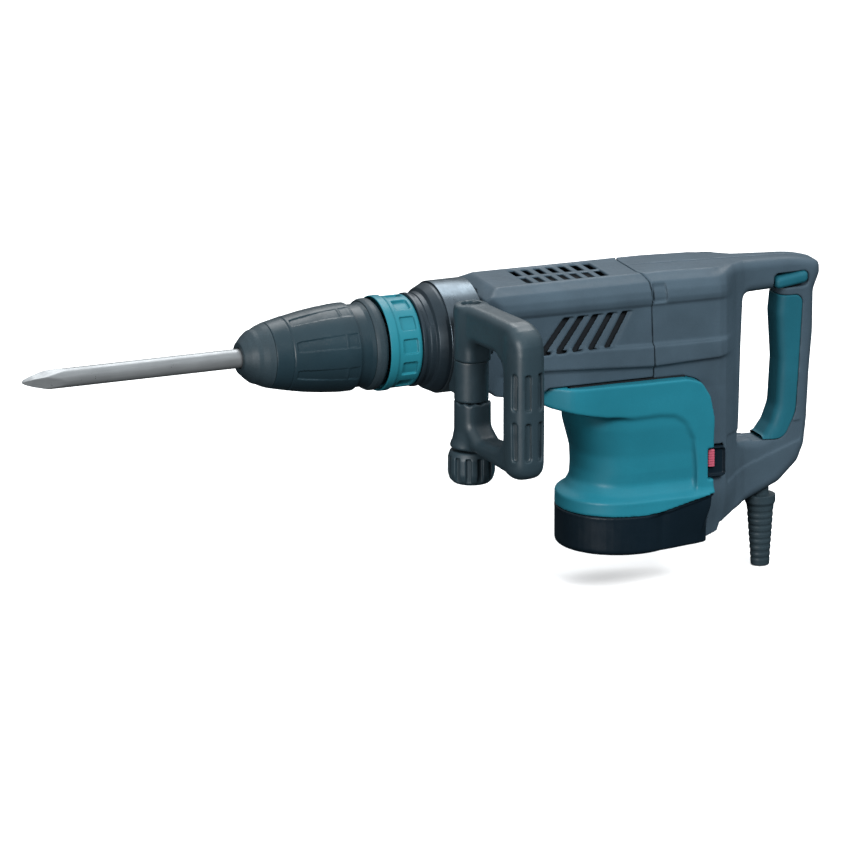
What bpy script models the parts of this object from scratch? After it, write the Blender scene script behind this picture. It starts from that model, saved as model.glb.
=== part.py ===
"""Electric demolition hammer: L-shaped body with a vertical motor, SDS-max chuck with a bull point,
swinging side handle and rear D-handle.

Frame, in metres: the origin is the centre of the flat underside of the motor's end cover, +Z up the
motor's axis, the chisel points along -X and the rear handle lies towards +X.
"""

import math

import bmesh
import bpy
from mathutils import Matrix, Vector

MM = 0.001
GAP = 0.3 * MM                      # between neighbouring pieces
ROUND = 24                          # sides of a turned piece
SMALL_ROUND = 12                    # sides of a small turned piece

# Driving dimensions
HAMMER_Z = 215 * MM                 # height of the hammer's axis, which runs along X
CHISEL_R = 9 * MM
CHISEL_TIP_X = -594 * MM
CHISEL_TAIL_X = -289 * MM
POINT_LENGTH = 50 * MM
CAP_FRONT_X = -379 * MM
COVER_FRONT_X = -352.7 * MM
COVER_REAR_X = -272 * MM
RING_FRONT_X = -245 * MM
RING_REAR_X = -212.3 * MM
BARREL_FRONT_X = -211.5 * MM
BARREL_R = 50.4 * MM
SHELL_FRONT_X = -149 * MM           # front of the plastic cover over the crankcase
SHELL_SEAM_X = 15 * MM              # seam between the front cover and the rear housing
DECK_Z = 165 * MM                   # top of the motor housing
WING_FRONT_X = -97 * MM
WING_REAR_X = 75 * MM
WING_HALF = 56 * MM
END_COVER_TOP_Z = 41 * MM
END_COVER_R = 58 * MM
MOTOR_BORE_R = 40.5 * MM
WALL = 3 * MM
CRANK_X = -43 * MM                  # axis of the crank, parallel to the motor's
CRANK_THROW = 15 * MM
CYLINDER_R = 20 * MM                # bore of the hammer cylinder
END_SCREWS = ((-34, -36), (-34, 36), (60, -36), (60, 36))   # x, y in mm, up through the end cover
ROD_LENGTH = 75 * MM
BOLT_X = -176.5 * MM                # axis of the side handle's clamp bolt
BOLT_Y = -71 * MM
HANDLE_TURN = math.radians(8.8)     # the side handle stands a little to the rear
HANDLE_REACH = 91 * MM              # clamp bolt to the centre of the side grip
KNUCKLE_R = 16 * MM
GUARD_X = 145 * MM                  # axis of the cord guard

PARTS = "electric_jackhammer"
CUTTERS = "cutters"


def clear_scene():
    for thing in list(bpy.data.objects):
        bpy.data.objects.remove(thing, do_unlink=True)
    for name in (PARTS, CUTTERS):
        group = bpy.data.collections.new(name)
        bpy.context.scene.collection.children.link(group)


def material(name, colour, roughness, metallic=0.0):
    made = bpy.data.materials.new(name)
    made.use_nodes = True
    shader = made.node_tree.nodes["Principled BSDF"]
    shader.inputs["Base Color"].default_value = (*colour, 1.0)
    shader.inputs["Roughness"].default_value = roughness
    shader.inputs["Metallic"].default_value = metallic
    return made


def placed(name, mesh, look=None):
    """A new object in the parts' collection, or a cutter where it has no material."""
    made = bpy.data.objects.new(name, mesh)
    bpy.data.collections[PARTS if look else CUTTERS].objects.link(made)
    if look:
        mesh.materials.append(look)
    else:
        made.hide_render = True
        made.display_type = "WIRE"
    return made


def smooth(thing):
    thing.data.shade_smooth()
    thing.data.set_sharp_from_angle(angle=math.radians(35))
    return thing


# Shapes

AXES = {
    "X": Matrix(((0, 0, 1), (1, 0, 0), (0, 1, 0))).to_4x4(),
    "Y": Matrix(((1, 0, 0), (0, 0, -1), (0, 1, 0))).to_4x4(),
    "Z": Matrix.Identity(4),
}


def turned(name, profile, look=None, axis="Z", centre=(0, 0, 0), steps=ROUND):
    """Turns (radius, height) points about an axis; an outline that starts and ends off it is closed."""
    mesh = bpy.data.meshes.new(name)
    shape = bmesh.new()
    corners = [shape.verts.new((radius, 0, height)) for radius, height in profile]
    for first, second in zip(corners, corners[1:]):
        shape.edges.new((first, second))
    if profile[0][0] > 0:
        shape.edges.new((corners[-1], corners[0]))
    shape.to_mesh(mesh)
    shape.free()
    made = placed(name, mesh, look)
    turn = made.modifiers.new("turn", "SCREW")
    turn.steps = steps
    turn.render_steps = steps
    turn.use_merge_vertices = True
    turn.merge_threshold = 0.00001
    turn.use_smooth_shade = False
    made.matrix_world = Matrix.Translation(centre) @ AXES[axis]
    return made


def along_hammer(points):
    """Turned profile about the hammer's axis, from (x, radius) pairs given in millimetres."""
    return [(radius * MM, x * MM) for x, radius in points]


def rod(name, radius, low, high, look=None, axis="Z", centre=(0, 0, 0), steps=SMALL_ROUND):
    return turned(name, [(0, high), (radius, high), (radius, low), (0, low)], look, axis, centre, steps)


def tube(name, outer, inner, low, high, look=None, axis="Z", centre=(0, 0, 0), steps=ROUND):
    outline = [(outer, high), (outer, low), (inner, low), (inner, high)]
    return turned(name, outline, look, axis, centre, steps)


def box(name, low, high, look=None, bevel=0.0):
    """A box between two corners given in millimetres."""
    low, high = Vector(low) * MM, Vector(high) * MM
    mesh = bpy.data.meshes.new(name)
    shape = bmesh.new()
    bmesh.ops.create_cube(shape, size=1.0)
    bmesh.ops.scale(shape, vec=high - low, verts=shape.verts)
    bmesh.ops.translate(shape, vec=(low + high) / 2, verts=shape.verts)
    shape.to_mesh(mesh)
    shape.free()
    made = placed(name, mesh, look)
    if bevel:
        rounded_edges(made, bevel)
    return made


def rounded_edges(thing, width, segments=2, angle=40):
    edge = thing.modifiers.new("edges", "BEVEL")
    edge.width = width
    edge.segments = segments
    edge.limit_method = "ANGLE"
    edge.angle_limit = math.radians(angle)
    return thing


def filleted(corners, steps=3):
    """Outline in metres from (u, v, radius) corners in millimetres, each corner turned into an arc."""
    outline = []
    count = len(corners)
    for i, (u, v, radius) in enumerate(corners):
        here = Vector((u, v)) * MM
        if radius == 0:
            outline.append(here)
            continue
        back = (Vector(corners[i - 1][:2]) * MM - here).normalized()
        ahead = (Vector(corners[(i + 1) % count][:2]) * MM - here).normalized()
        half = back.angle(ahead) / 2
        centre = here + (back + ahead).normalized() * (radius * MM / math.sin(half))
        start = here + back * (radius * MM / math.tan(half))
        sweep = (start - centre).angle_signed(here + ahead * (radius * MM / math.tan(half)) - centre)
        for step in range(steps + 1):
            outline.append(centre + Matrix.Rotation(-sweep * step / steps, 2) @ (start - centre))
    return outline


def plate(name, outlines, low, high, look=None, axis="Z", round_edge=0.0):
    """Flat outlines (the first round the others, its holes) extruded from low to high along an axis."""
    curve = bpy.data.curves.new(name, "CURVE")
    curve.dimensions = "2D"
    curve.fill_mode = "BOTH"
    curve.extrude = (high - low) / 2 - round_edge
    curve.bevel_depth = round_edge
    curve.bevel_resolution = 1
    curve.offset = -round_edge
    for outline in outlines:
        spline = curve.splines.new("POLY")
        spline.points.add(len(outline) - 1)
        for point, (u, v) in zip(spline.points, outline):
            point.co = (u, v, 0, 1)
        spline.use_cyclic_u = True
    sketch = bpy.data.objects.new(name + "_sketch", curve)
    bpy.data.collections[CUTTERS].objects.link(sketch)
    bpy.context.view_layer.update()
    evaluated = sketch.evaluated_get(bpy.context.evaluated_depsgraph_get())
    mesh = bpy.data.meshes.new_from_object(evaluated)
    bpy.data.objects.remove(sketch)
    shape = bmesh.new()
    shape.from_mesh(mesh)
    bmesh.ops.remove_doubles(shape, verts=shape.verts, dist=0.000001)
    bmesh.ops.recalc_face_normals(shape, faces=shape.faces)
    shape.to_mesh(mesh)
    shape.free()
    made = placed(name, mesh, look)
    turn = AXES[axis]
    middle = (low + high) / 2 * (-1 if axis == "Y" else 1)
    made.matrix_world = turn @ Matrix.Translation((0, 0, middle))
    return made


def mirrored(half):
    """The whole outline of a shape that is symmetric about v's axis, from its half at u > 0."""
    return half + [(-u, v, radius) for u, v, radius in reversed(half)]


def combine(thing, other, operation):
    step = thing.modifiers.new(operation.lower(), "BOOLEAN")
    step.operation = operation
    step.object = other
    step.solver = "EXACT"
    return thing


def cut(thing, *cutters):
    for cutter in cutters:
        combine(thing, cutter, "DIFFERENCE")
    return thing


def join(thing, *others):
    for other in others:
        combine(thing, other, "UNION")
    return thing


def group_of_boxes(name, boxes):
    """One cutter made of separate boxes, each (low, high) in millimetres with its tilt about Y."""
    mesh = bpy.data.meshes.new(name)
    shape = bmesh.new()
    for low, high, tilt in boxes:
        low, high = Vector(low) * MM, Vector(high) * MM
        made = bmesh.ops.create_cube(shape, size=1.0)["verts"]
        bmesh.ops.scale(shape, vec=high - low, verts=made)
        bmesh.ops.rotate(shape, matrix=Matrix.Rotation(tilt, 3, "Y"), verts=made)
        bmesh.ops.translate(shape, vec=(low + high) / 2, verts=made)
    shape.to_mesh(mesh)
    shape.free()
    return placed(name, mesh)


def ring_of_boxes(name, count, size, radius, axis="Z", centre=(0, 0, 0)):
    """One cutter made of boxes of a size and a radius in millimetres, spread evenly about an axis."""
    mesh = bpy.data.meshes.new(name)
    shape = bmesh.new()
    away = Vector((0, 0, 1)) if axis == "X" else Vector((1, 0, 0))
    for i in range(count):
        made = bmesh.ops.create_cube(shape, size=1.0)["verts"]
        bmesh.ops.scale(shape, vec=Vector(size) * MM, verts=made)
        bmesh.ops.translate(shape, vec=away * radius * MM, verts=made)
        bmesh.ops.rotate(shape, matrix=Matrix.Rotation(2 * math.pi * i / count, 3, axis), verts=made)
    bmesh.ops.translate(shape, vec=centre, verts=shape.verts)
    shape.to_mesh(mesh)
    shape.free()
    return placed(name, mesh)


def coil(name, radius, wire, low, high, turns, look):
    """A compression spring about the hammer's axis."""
    curve = bpy.data.curves.new(name, "CURVE")
    curve.dimensions = "3D"
    curve.bevel_depth = wire
    curve.bevel_resolution = 2
    curve.use_fill_caps = True
    curve.materials.append(look)
    spline = curve.splines.new("POLY")
    count = int(turns * 12)
    spline.points.add(count)
    for i, point in enumerate(spline.points):
        angle = 2 * math.pi * i / 12
        x = low + (high - low) * i / count
        point.co = (x, radius * math.cos(angle), HAMMER_Z + radius * math.sin(angle), 1)
    made = bpy.data.objects.new(name, curve)
    bpy.data.collections[PARTS].objects.link(made)
    return made


def toothed(teeth, root, tip):
    """Outline of a gear with straight-sided teeth."""
    outline = []
    for i in range(teeth):
        for share, radius in ((0.0, root), (0.3, root), (0.45, tip), (0.8, tip)):
            angle = 2 * math.pi * (i + share) / teeth
            outline.append(Vector((radius * math.cos(angle), radius * math.sin(angle))))
    return outline


HAMMER = (0, 0, HAMMER_Z)


# Chuck and bull point

def chisel(steel):
    """Round shank ground to a four-sided point, with the two lock recesses near its tail."""
    shank = [(CHISEL_TAIL_X / MM, 0), (CHISEL_TAIL_X / MM, 8), (CHISEL_TAIL_X / MM - 2, 9)]
    front = CHISEL_TIP_X / MM
    made = turned("chisel", along_hammer([*shank, (front, 9), (front, 0)]), steel, "X", HAMMER, 24)
    base = front + POINT_LENGTH / MM
    tail = CHISEL_TAIL_X / MM + 5
    point = [(tail, 0), (tail, 20), (base + 2, 20), (base, 12.9), (front, 1.2), (front, 0)]
    pyramid = turned("point_pyramid", along_hammer(point), None, "X", HAMMER, 4)
    combine(made, pyramid, "INTERSECT")
    high = HAMMER_Z / MM + 6.3
    low = HAMMER_Z / MM - 6.3
    upper = box("upper_lock_recess", (-352.6, -3.6, high), (-316.4, 3.6, high + 9))
    lower = box("lower_lock_recess", (-352.6, -3.6, low - 9), (-316.4, 3.6, low))
    cut(made, upper, lower)
    return made


def nose_cap(rubber):
    outline = [(-353, 30.3), (-358.5, 28.3), (-364, 25.5), (-367, 25), (-372, 21), (-375, 18.5),
               (-379, 14.5), (-379, 9.6), (-373, 9.6), (-371.3, 17.4), (-353, 17.4)]
    return turned("nose_cap", along_hammer(outline), rubber, "X", HAMMER)


def release_cover(plastic):
    outer = [(-272, 41.2), (-277, 41.4), (-285, 41), (-301, 39.8), (-318, 37.6), (-334, 34.6), (-345, 32.2),
             (-352.7, 30.4)]
    inner = [(-352.7, 24.4), (-338, 24.4), (-338, 28.5), (-318, 33.8), (-300, 37.3), (-293, 38.7),
             (-272, 39.3)]
    return turned("release_cover", along_hammer(outer + inner), plastic, "X", HAMMER)


def lock_parts(steel):
    """The two segments that hold the shank, and the collar inside the cover that keeps them in."""
    centre = HAMMER_Z / MM
    box("lock_segment_upper", (-352, -3, centre + 6.6), (-329, 3, centre + 17.2), steel)
    box("lock_segment_lower", (-352, -3, centre - 17.2), (-329, 3, centre - 6.6), steel)
    tube("locking_collar", 24.1 * MM, 20.3 * MM, -337.7 * MM, -318 * MM, steel, "X", HAMMER, 24)


def tool_holder(steel):
    outline = [(-186, 28), (-228, 28), (-228, 22), (-271, 22), (-271, 29), (-275, 29), (-275, 17), (-371, 17),
               (-371, 9.3), (-287, 9.3), (-287, 14.2), (-230, 14.2), (-226, 24.5), (-186, 24.5)]
    made = turned("tool_holder", along_hammer(outline), steel, "X", HAMMER)
    centre = HAMMER_Z / MM
    slot = box("segment_slot", (-352.4, -3.3, centre - 25), (-328.6, 3.3, centre + 25))
    return cut(made, slot)


def chuck_rings(plastic, rubber, teal):
    """Fixed neck behind the release cover, its bead, and the angle-change ring that slides over it."""
    neck = [(-246, 40), (-247.4, 40), (-257.6, 40), (-261, 38.4), (-280, 38.4), (-280, 34), (-262, 34),
            (-250, 22.3), (-246, 22.3)]
    turned("neck_sleeve", along_hammer(neck), plastic, "X", HAMMER)
    bead = [(-248, 41.8), (-250, 42.7), (-254, 42.7), (-257, 41.6), (-257, 40.3), (-248, 40.3)]
    turned("neck_bead", along_hammer(bead), rubber, "X", HAMMER)
    rim, rear = RING_FRONT_X / MM, RING_REAR_X / MM
    ring = [(rear, 41.5), (rear - 1.5, 43), (rim + 10, 43), (rim + 8.5, 44.4), (rim + 1, 44.4), (rim, 43.9),
            (rim, 43.1), (rim + 8, 43.1), (rim + 8, 28.6), (rear, 28.6)]
    made = turned("change_ring", along_hammer(ring), teal, "X", HAMMER, 36)
    middle = (-225.5 * MM, 0, HAMMER_Z)
    cut(made, ring_of_boxes("ring_pockets", 12, (14, 13, 4), 43.4, "X", middle))


# Hammer mechanism

def barrel(metal):
    outline = [(-105, 41.3), (-150.5, 41.3), (-150.5, 50.4), (-190, 50.4), (-197, 47.6), (-199, 43.5),
               (-211.5, 43.5), (-211.5, 28.7), (-206, 28.7), (-206, 36.3), (-184, 36.3), (-178, 24.4),
               (-165, 24.4), (-160, 37), (-105, 37)]
    turned("barrel", along_hammer(outline), metal, "X", HAMMER)


def hammer_parts(steel, brass):
    """Cylinder with, from the rear, piston, striker and impact bolt, and the holder's bearing."""
    tube("cylinder", 24 * MM, CYLINDER_R, -222 * MM, -92 * MM, steel, "X", HAMMER)
    tube("holder_bearing", 36 * MM, 28.4 * MM, -205.5 * MM, -187 * MM, steel, "X", HAMMER)
    bolt = [(-226.5, 0), (-226.5, 9), (-240, 10.5), (-242, 13.8), (-260, 13.8), (-264, 8.8), (-283.5, 8.8),
            (-284, 0)]
    turned("impact_bolt", along_hammer(bolt), steel, "X", HAMMER, 24)
    ram = [(-170, 0), (-170, 17), (-172, 19.6), (-196, 19.6), (-198, 11), (-207, 11), (-208, 0)]
    turned("striker", along_hammer(ram), steel, "X", HAMMER, 24)
    cup = [(-127, 0), (-127, 15), (-95, 15), (-95, 19.6), (-133, 19.6), (-135, 18), (-135, 0)]
    made = turned("piston", along_hammer(cup), steel, "X", HAMMER, 24)
    small_end = -28 * MM - ROD_LENGTH
    rod("piston_pin", 4.5 * MM, HAMMER_Z - 18 * MM, HAMMER_Z + 18 * MM, steel, centre=(small_end, 0, 0))
    cut(made, rod("pin_bore", 4.8 * MM, HAMMER_Z - 30 * MM, HAMMER_Z + 30 * MM, centre=(small_end, 0, 0)))
    connecting_rod(brass, small_end)


def connecting_rod(metal, small_end):
    low, high = HAMMER_Z - 6 * MM, HAMMER_Z + 6 * MM
    big_end = small_end + ROD_LENGTH
    made = tube("connecting_rod", 9 * MM, 4.8 * MM, low, high, metal, centre=(small_end, 0, 0), steps=20)
    eye = rod("rod_eye", 13 * MM, low, high, centre=(big_end, 0, 0), steps=20)
    start, end = small_end / MM + 7, big_end / MM - 8
    shank = box("rod_shank", (start, -4, low / MM + 1.5), (end, 4, high / MM - 1.5))
    bore = rod("rod_bore", 7.5 * MM, low - MM, high + MM, centre=(big_end, 0, 0), steps=20)
    join(made, eye, shank)
    cut(made, bore)


def crank_parts(steel):
    """Crank with its pin, the big gear on it and its lower bearing."""
    shaft = turned("crank_shaft", [(0, 190 * MM), (24 * MM, 190 * MM), (24 * MM, 184 * MM), (8 * MM, 184 * MM),
                                   (8 * MM, 149 * MM), (0, 149 * MM)], steel, centre=(CRANK_X, 0, 0), steps=24)
    pin = rod("crank_pin", 6 * MM, 188 * MM, 205 * MM, centre=(CRANK_X + CRANK_THROW, 0, 0))
    join(shaft, pin)
    outline = toothed(36, 33.6 * MM, 35.2 * MM)
    gear = plate("crank_gear", [outline], 172 * MM, 183 * MM, steel)
    gear.matrix_world = Matrix.Translation((CRANK_X, 0, 0)) @ gear.matrix_world
    cut(gear, rod("gear_bore", 8.3 * MM, 160 * MM, 190 * MM, centre=(CRANK_X, 0, 0)))
    tube("crank_bearing", 16 * MM, 8.3 * MM, 150 * MM, 164 * MM, steel, centre=(CRANK_X, 0, 0), steps=24)


def castings(metal):
    """Crankcase over the crank, and the plate between it and the motor that holds two bearings."""
    case = box("crankcase", (-104, -39, 165.4), (32, 39, 252.5), metal)
    room = box("crankcase_room", (-91, -36, 160), (29, 36, 249))
    cut(case, room, rod("cylinder_hole", 24.3 * MM, -120 * MM, -85 * MM, None, "X", HAMMER, 28))
    deck = box("bearing_plate", (-66, -44, 141.5), (49, 44, 164.7), metal)
    seat = turned("crank_seat", [(0, 170 * MM), (16.3 * MM, 170 * MM), (16.3 * MM, 149.7 * MM),
                                 (12 * MM, 149.7 * MM), (12 * MM, 147 * MM), (0, 147 * MM)],
                  centre=(CRANK_X, 0, 0), steps=24)
    motor_seat = turned("motor_seat", [(0, 170 * MM), (9 * MM, 170 * MM), (9 * MM, 153 * MM),
                                       (13.3 * MM, 153 * MM), (13.3 * MM, 138 * MM), (0, 138 * MM)], steps=24)
    cut(deck, seat, motor_seat)


# Motor

def motor_parts(steel, copper, plastic, iron, carbon):
    shaft = turned("armature_shaft", [(0, 168 * MM), (5 * MM, 168 * MM), (5 * MM, 22 * MM), (0, 22 * MM)],
                   steel, steps=SMALL_ROUND)
    outline = toothed(8, 5.6 * MM, 7.4 * MM)
    join(shaft, plate("pinion_teeth", [outline], 167 * MM, 184 * MM))
    tube("armature_core", 25.2 * MM, 5.3 * MM, 60 * MM, 114 * MM, iron)
    tube("commutator", 14 * MM, 5.3 * MM, 35 * MM, 52 * MM, copper, steps=24)
    tube("stator", 40.2 * MM, 26 * MM, 57 * MM, 117 * MM, iron)
    tube("upper_bearing", 13 * MM, 5.3 * MM, 142 * MM, 152.5 * MM, steel, steps=24)
    tube("lower_bearing", 11 * MM, 5.3 * MM, 22.5 * MM, 30.5 * MM, steel, steps=24)
    cooling_fan(plastic)
    for side, sign in (("left", -1), ("right", 1)):
        brush_parts(side, sign, plastic, carbon)


def cooling_fan(plastic):
    outline = [(12, 136), (12, 127), (37, 127), (37, 124.5), (5.3, 124.5), (5.3, 136)]
    fan = turned("cooling_fan", [(radius * MM, z * MM) for radius, z in outline], plastic, steps=24)
    join(fan, ring_of_boxes("fan_blades", 10, (25, 1.6, 9), 23.5, centre=(0, 0, 130.5 * MM)))


def brush_parts(side, sign, plastic, carbon):
    near, far = sorted((sign * 19, sign * 37))
    holder = box("brush_holder_" + side, (-7, near, 37), (7, far, 49.5), plastic)
    cut(holder, box("brush_channel_" + side, (-4.3, near - 5, 39.2), (4.3, far + 5, 47.3)))
    near, far = sorted((sign * 14.4, sign * 31))
    box("carbon_brush_" + side, (-4, near, 39.5), (4, far, 47), carbon)


# Casings

def front_cover(plastic):
    """Ridge-topped cover, open below and behind, with a bevelled front, vents and louvres."""
    half = [(31, 264.3, 0), (41, 259.5, 5), (48, 247, 5), (48, 238, 3), (45, 234, 0), (45, 199, 0),
            (49, 195, 2), (49, 178, 2), (46, 173, 0), (46, 150, 0)]
    side = [(-149, 170, 0), (-149, 254, 0), (-133, 264.4, 0), (20, 264.4, 0), (20, 165.4, 0), (-86.2, 165.4, 0),
            (-97.4, 158.3, 0), (-97.4, 156, 0), (-140, 163, 0)]
    plan = [(-149, -38, 0), (-131, -49, 0), (20, -50, 0), (20, 50, 0), (-131, 49, 0), (-149, 38, 0)]
    rear = SHELL_SEAM_X - GAP / 2
    made = plate("front_cover", [filleted(mirrored(half), 3)], SHELL_FRONT_X, rear, plastic, "X")
    combine(made, plate("cover_side", [filleted(side)], -60 * MM, 60 * MM, None, "Y"), "INTERSECT")
    combine(made, plate("cover_plan", [filleted(plan)], 140 * MM, 280 * MM), "INTERSECT")
    room_half = [(28, 261.3, 0), (38, 257, 0), (45, 246, 0), (42, 232, 0), (42, 140, 0)]
    room_side = [(-145, 172, 0), (-145, 252, 0), (-131, 270, 0), (40, 270, 0), (40, 145, 0), (-95, 145, 0),
                 (-95, 161, 0), (-106, 162, 0), (-137, 167.5, 0)]
    room = plate("cover_room", [filleted(mirrored(room_half))], SHELL_FRONT_X, 30 * MM, None, "X")
    combine(room, plate("cover_room_side", [filleted(room_side)], -60 * MM, 60 * MM, None, "Y"), "INTERSECT")
    mouth = rod("cover_mouth", 41.7 * MM, -160 * MM, -120 * MM, None, "X", HAMMER, ROUND)
    cut(made, room, mouth, top_vents(), side_louvres())
    return made


def top_vents():
    slots = []
    for column in range(6):
        x = -96 + 13.5 * column
        for y in (-17, 4):
            slots.append(((x, y, 255), (x + 6, y + 13, 270), 0))
    return group_of_boxes("top_vents", slots)


def side_louvres():
    slots = []
    for i in range(5):
        x = -88 + 16 * i
        for side in (-1, 1):
            near, far = sorted((side * 35, side * 60))
            slots.append(((x, near, 203), (x + 7, far, 229), math.radians(32)))
    return group_of_boxes("side_louvres", slots)


def motor_housing(teal):
    """Barrel round the motor that spreads into the deck above it and the column behind it."""
    profile = [(0, 150), (52, 150), (50.6, 119), (47.5, 109), (43.4, 92), (43.4, 74), (45, 62), (50, 56),
               (58, 51), (58, 41.3), (0, 41.3)]
    made = turned("motor_housing", [(radius * MM, z * MM) for radius, z in profile], teal, steps=32)
    side = [(-97, 149, 0), (-97, 158, 0), (-86, 165, 0), (75, 165, 24), (75, 41.3, 0), (45, 41.3, 0),
            (45, 136, 8), (-50, 141, 0), (-80, 147, 0)]
    slab = plate("deck_slab", [filleted(side)], -WING_HALF, WING_HALF, None, "Y")
    plan = [(-97, -26, 10), (-62, -56, 25), (75, -54, 0), (75, 54, 0), (-62, 56, 25), (-97, 26, 10)]
    combine(slab, plate("deck_plan", [filleted(plan)], 30 * MM, 170 * MM), "INTERSECT")
    join(made, slab)
    bore = turned("motor_bore", [(0, 142 * MM), (MOTOR_BORE_R, 142 * MM), (MOTOR_BORE_R, 30 * MM),
                                 (0, 30 * MM)], steps=ROUND)
    deck_room = box("deck_room", (-67, -45, 141.2), (50, 45, 175))
    wire_room = box("wire_room", (47, -44, 52), (80, 44, 136))
    lamp_slot = box("deck_lamp_slot", (69, -60, 64.4), (80, -39.7, 93.6))
    threads = []
    for i, (x, y) in enumerate(END_SCREWS):
        place = (x * MM, y * MM, 0)
        threads.append(rod("screw_thread_" + str(i + 1), 2.3 * MM, 30 * MM, 51.6 * MM, centre=place))
    cut(made, bore, deck_room, wire_room, lamp_slot, *threads)
    return made


def end_cover_plan(inset):
    """Round in front, squared off behind the motor."""
    radius = END_COVER_R / MM - inset
    outline = []
    for i in range(25):
        angle = math.radians(66 + 228 * i / 24)
        outline.append(Vector((radius * math.cos(angle), radius * math.sin(angle))) * MM)
    half = radius - 6
    corners = [(30, -half - 3), (68 - inset, -half + 4), (74.7 - inset, -half + 12)]
    outline += [Vector(corner) * MM for corner in corners]
    outline += [Vector((u, -v)) * MM for u, v in reversed(corners)]
    return outline


def motor_end_cover(plastic):
    made = plate("motor_end_cover", [end_cover_plan(0)], 0, END_COVER_TOP_Z, plastic)
    rounded_edges(made, 3 * MM, 2, 60)
    room = plate("end_cover_room", [end_cover_plan(3)], WALL, 60 * MM)
    boss = rod("bearing_boss", 15 * MM, 2 * MM, 30 * MM, steps=20)
    seat = rod("bearing_seat", 11.3 * MM, 22 * MM, 60 * MM, steps=20)
    slots = []
    for i in range(5):
        for x in (-40, 22):
            y = -26 + 12 * i
            slots.append(((x, y, -5), (x + 18, y + 5, 10), 0))
    cut(made, room)
    join(made, boss)
    for i, (x, y) in enumerate(END_SCREWS):
        join(made, rod("screw_boss_" + str(i + 1), 6.5 * MM, 1.5 * MM, 38 * MM, centre=(x * MM, y * MM, 0), steps=16))
    cut(made, seat, group_of_boxes("inlet_slots", slots))
    for i in range(len(END_SCREWS)):
        cut(made, screw_room(i))
    return made


def screw_outline(clearance, low, high):
    """Head with its shank above it, for a screw that goes up through the end cover."""
    shank, head, step = 2 + clearance, 4.2 + clearance, 8 + clearance
    points = [(0, high), (shank, high), (shank, step), (head, step), (head, low), (0, low)]
    return [(radius * MM, z * MM) for radius, z in points]


def screw_room(i):
    x, y = END_SCREWS[i]
    outline = screw_outline(0.3, -5, 52.5)
    return turned("screw_room_" + str(i + 1), outline, centre=(x * MM, y * MM, 0), steps=SMALL_ROUND)


def rear_side_outline():
    """The rear housing seen from the side, without the D-handle's opening."""
    return [(15.15, 165.4, 0), (15.15, 262.6, 0), (75, 259.5, 60), (179, 254.5, 30), (200.5, 248, 9),
            (200.5, 238, 8), (193.5, 222, 20), (190, 146, 0), (186.5, 96, 20), (184, 72, 20), (158, 41, 20),
            (120, 27, 0), (90.3, 15, 2), (88.5, 6, 2), (75.3, 2, 0), (75.3, 165.4, 24)]


def rear_opening():
    return [(118, 227.5, 8), (157, 227.5, 2), (158, 130, 40), (150, 96, 20), (139, 87.5, 6), (110, 87.5, 4)]


def rear_plan():
    half = [(10, 48, 0), (84, 48, 30), (122, 24, 20), (152, 20, 0), (205, 18, 0)]
    return half + [(x, -y, radius) for x, y, radius in reversed(half)]


def rear_rooms():
    """What the two halves leave open inside: the body, the arm over the opening and the foot below it."""
    body = [(10, 160, 0), (10, 258, 0), (104, 255, 0), (104, 40, 0), (92, 22, 0), (76, 10, 0), (70, 10, 0),
            (70, 160, 0)]
    foot = [(100, 41, 0), (120, 34, 0), (160, 50.5, 0), (172, 62, 0), (172, 80, 0), (100, 80, 0)]
    arm = [(100, 232, 0), (100, 252, 0), (188, 248, 0), (188, 232, 0)]
    inside = [(0, 44, 0), (82, 44, 0), (119, 21, 0), (119, -21, 0), (82, -44, 0), (0, -44, 0)]
    main_room = plate("rear_body_room", [filleted(body)], -60 * MM, 60 * MM, None, "Y")
    combine(main_room, plate("rear_room_plan", [filleted(inside)], -20 * MM, 300 * MM), "INTERSECT")
    rooms = [main_room]
    rooms.append(plate("rear_foot_room", [filleted(foot)], -15 * MM, 15 * MM, None, "Y"))
    rooms.append(plate("rear_arm_room", [filleted(arm)], -15 * MM, 15 * MM, None, "Y"))
    return rooms


def guard_profile(clearance=0.0):
    points = [(12, 52), (12, 47), (8, 47), (8, 29), (14.5, 29), (14.5, 22), (12.8, 19), (8.7, -39)]
    return [((radius + clearance) * MM, z * MM) for radius, z in points]


def rear_housing(plastic):
    """Two halves that meet at the middle plane, with the grip's core and every opening cut out."""
    rooms = rear_rooms()
    plan = plate("rear_plan_block", [filleted(rear_plan())], -10 * MM, 280 * MM)
    opening = plate("rear_opening", [filleted(rear_opening())], -60 * MM, 60 * MM, None, "Y")
    around_core = [(184.3, -11, 0), (184.3, -40, 0), (149, -40, 0), (149, 40, 0), (184.3, 40, 0),
                   (184.3, 11, 0), (170.1, 11, 0), (170.1, -11, 0)]
    grip_pocket = plate("grip_pocket", [filleted(around_core)], 90 * MM, 217.4 * MM)
    lever_slot = box("lever_slot", (151.6, -40, 228.8), (185.4, 40, 243.2))
    lamp_slot = box("rear_lamp_slot", (60, -60, 64.4), (89.3, -39.7, 93.6))
    guard_bore = turned("guard_bore", [(0, 55 * MM), *[(radius, z) for radius, z in guard_profile(0.4)][:4],
                                       (15 * MM, 29.4 * MM), (15 * MM, 0), (0, 0)],
                        centre=(GUARD_X, 0, 0), steps=20)
    for side, low, high in (("left", -60 * MM, -GAP / 2), ("right", GAP / 2, 60 * MM)):
        half = plate("rear_housing_" + side, [filleted(rear_side_outline())], low, high, plastic, "Y")
        combine(half, plan, "INTERSECT")
        cut(half, *rooms, opening, grip_pocket, lever_slot, lamp_slot, guard_bore)


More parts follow.
